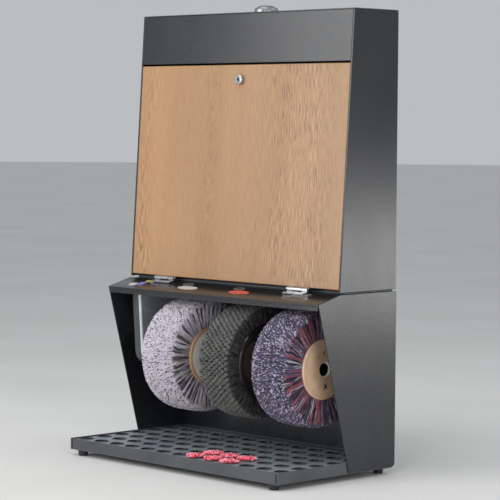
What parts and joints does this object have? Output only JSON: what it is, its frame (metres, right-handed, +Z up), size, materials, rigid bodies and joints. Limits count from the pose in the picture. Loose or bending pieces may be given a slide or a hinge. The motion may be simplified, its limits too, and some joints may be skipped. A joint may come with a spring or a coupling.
{
  "type": "shoe polishing machine",
  "caption": "Floor-standing electric shoe polishing machine with round brushes on a belt-driven shaft, a rubber standing mat, and a cabinet with a drop-down oak door.",
  "frame": {"origin": "on the floor under the middle of the machine's width and depth", "axes": "+Z up, +Y towards the back, +X to the right as seen from the front"},
  "size_m": [0.604, 0.32, 0.9157],
  "materials": {
    "powder_coated_steel": "satin anthracite powder coat",
    "black_rubber": "matt black rubber",
    "oak_board": "satin oak with upright grain",
    "chrome": "polished",
    "bright_steel": "bright drawn steel",
    "grey_plastic": "satin grey",
    "black_plastic": "matt black",
    "tan_disc": "satin tan",
    "bearing_bronze": "turned",
    "light_bristle": "soft light grey bristle",
    "black_bristle": "stiff black bristle",
    "violet_bristle": "soft violet-grey bristle",
    "red_bristle": "stiff red bristle"
  },
  "bodies": {
    "cabinet": {"base_tray": "powder_coated_steel", "lower_left_panel": "powder_coated_steel", "lower_right_panel": "powder_coated_steel", "lower_back_panel": "powder_coated_steel", "apron": "powder_coated_steel", "upper_left_panel": "powder_coated_steel", "upper_right_panel": "powder_coated_steel", "upper_back_panel": "powder_coated_steel", "top_panel": "powder_coated_steel", "head_panel": "powder_coated_steel", "cabinet_floor": "powder_coated_steel", "motor_bracket": "powder_coated_steel", "bearing_arm_1": "powder_coated_steel", "bearing_arm_2": "powder_coated_steel", "rubber_mat": "black_rubber", "seam_gasket": "black_rubber", "foot_front_left": "black_rubber", "foot_front_right": "black_rubber", "foot_rear_left": "black_rubber", "foot_rear_right": "black_rubber", "cable_grommet": "black_rubber", "button_bezel": "chrome", "hinge_left_case_leaf": "bright_steel", "hinge_right_case_leaf": "bright_steel", "hinge_left_pin": "bright_steel", "hinge_right_pin": "bright_steel", "belt_guard": "grey_plastic", "motor_body": "grey_plastic", "drive_belt": "black_plastic", "control_box": "black_plastic", "switch_block": "black_plastic", "bearing_1": "bearing_bronze", "bearing_2": "bearing_bronze", "sole_brush_1": "red_bristle", "sole_brush_2": "red_bristle", "sole_brush_3": "red_bristle", "sole_brush_4": "red_bristle", "sole_brush_5": "red_bristle", "sole_brush_6": "red_bristle"},
    "door": {"door_panel": "oak_board", "hinge_left_door_leaf": "bright_steel", "hinge_right_door_leaf": "bright_steel", "lock_housing": "chrome"},
    "lock": {"lock_plug": "chrome", "lock_cam": "chrome"},
    "button": {"button_cap": "chrome"},
    "brushes": {"brush_shaft": "bright_steel", "driven_pulley": "grey_plastic", "light_brush": "light_bristle", "light_brush_left_disc": "tan_disc", "light_brush_right_disc": "tan_disc", "cleaning_brush": "black_bristle", "cleaning_brush_left_disc": "black_plastic", "cleaning_brush_right_disc": "black_plastic", "dark_brush": "violet_bristle", "dark_brush_left_disc": "tan_disc", "dark_brush_right_disc": "tan_disc"},
    "rotor": {"motor_shaft": "bright_steel", "motor_pulley": "grey_plastic"}
  },
  "joints": [
    {"name": "door_hinge", "type": "hinge", "parent": "cabinet", "child": "door", "pos_m": [0, -0.00134, 0.36186], "axis": [1, 0, 0], "range_deg": [0, 95]},
    {"name": "lock_turn", "type": "hinge", "parent": "door", "child": "lock", "pos_m": [0, 0.02801, 0.76591], "axis": [0, -0.998, 0.0626], "range_deg": [0, 90]},
    {"name": "button_press", "type": "slide", "parent": "cabinet", "child": "button", "axis": [0, 0, -1], "range_m": [0, 0.004], "stiffness_N_per_m": 1500, "springref_m": -0.002},
    {"name": "brush_spin", "type": "hinge", "parent": "cabinet", "child": "brushes", "pos_m": [0, 0.02, 0.2093], "axis": [1, 0, 0], "continuous": true},
    {"name": "motor_spin", "type": "hinge", "parent": "cabinet", "child": "rotor", "pos_m": [0, 0.08, 0.4183], "axis": [1, 0, 0], "continuous": true}
  ],
  "couplings": [
    {"joint": "motor_spin", "follows": "brush_spin", "ratio": 1.5}
  ]
}
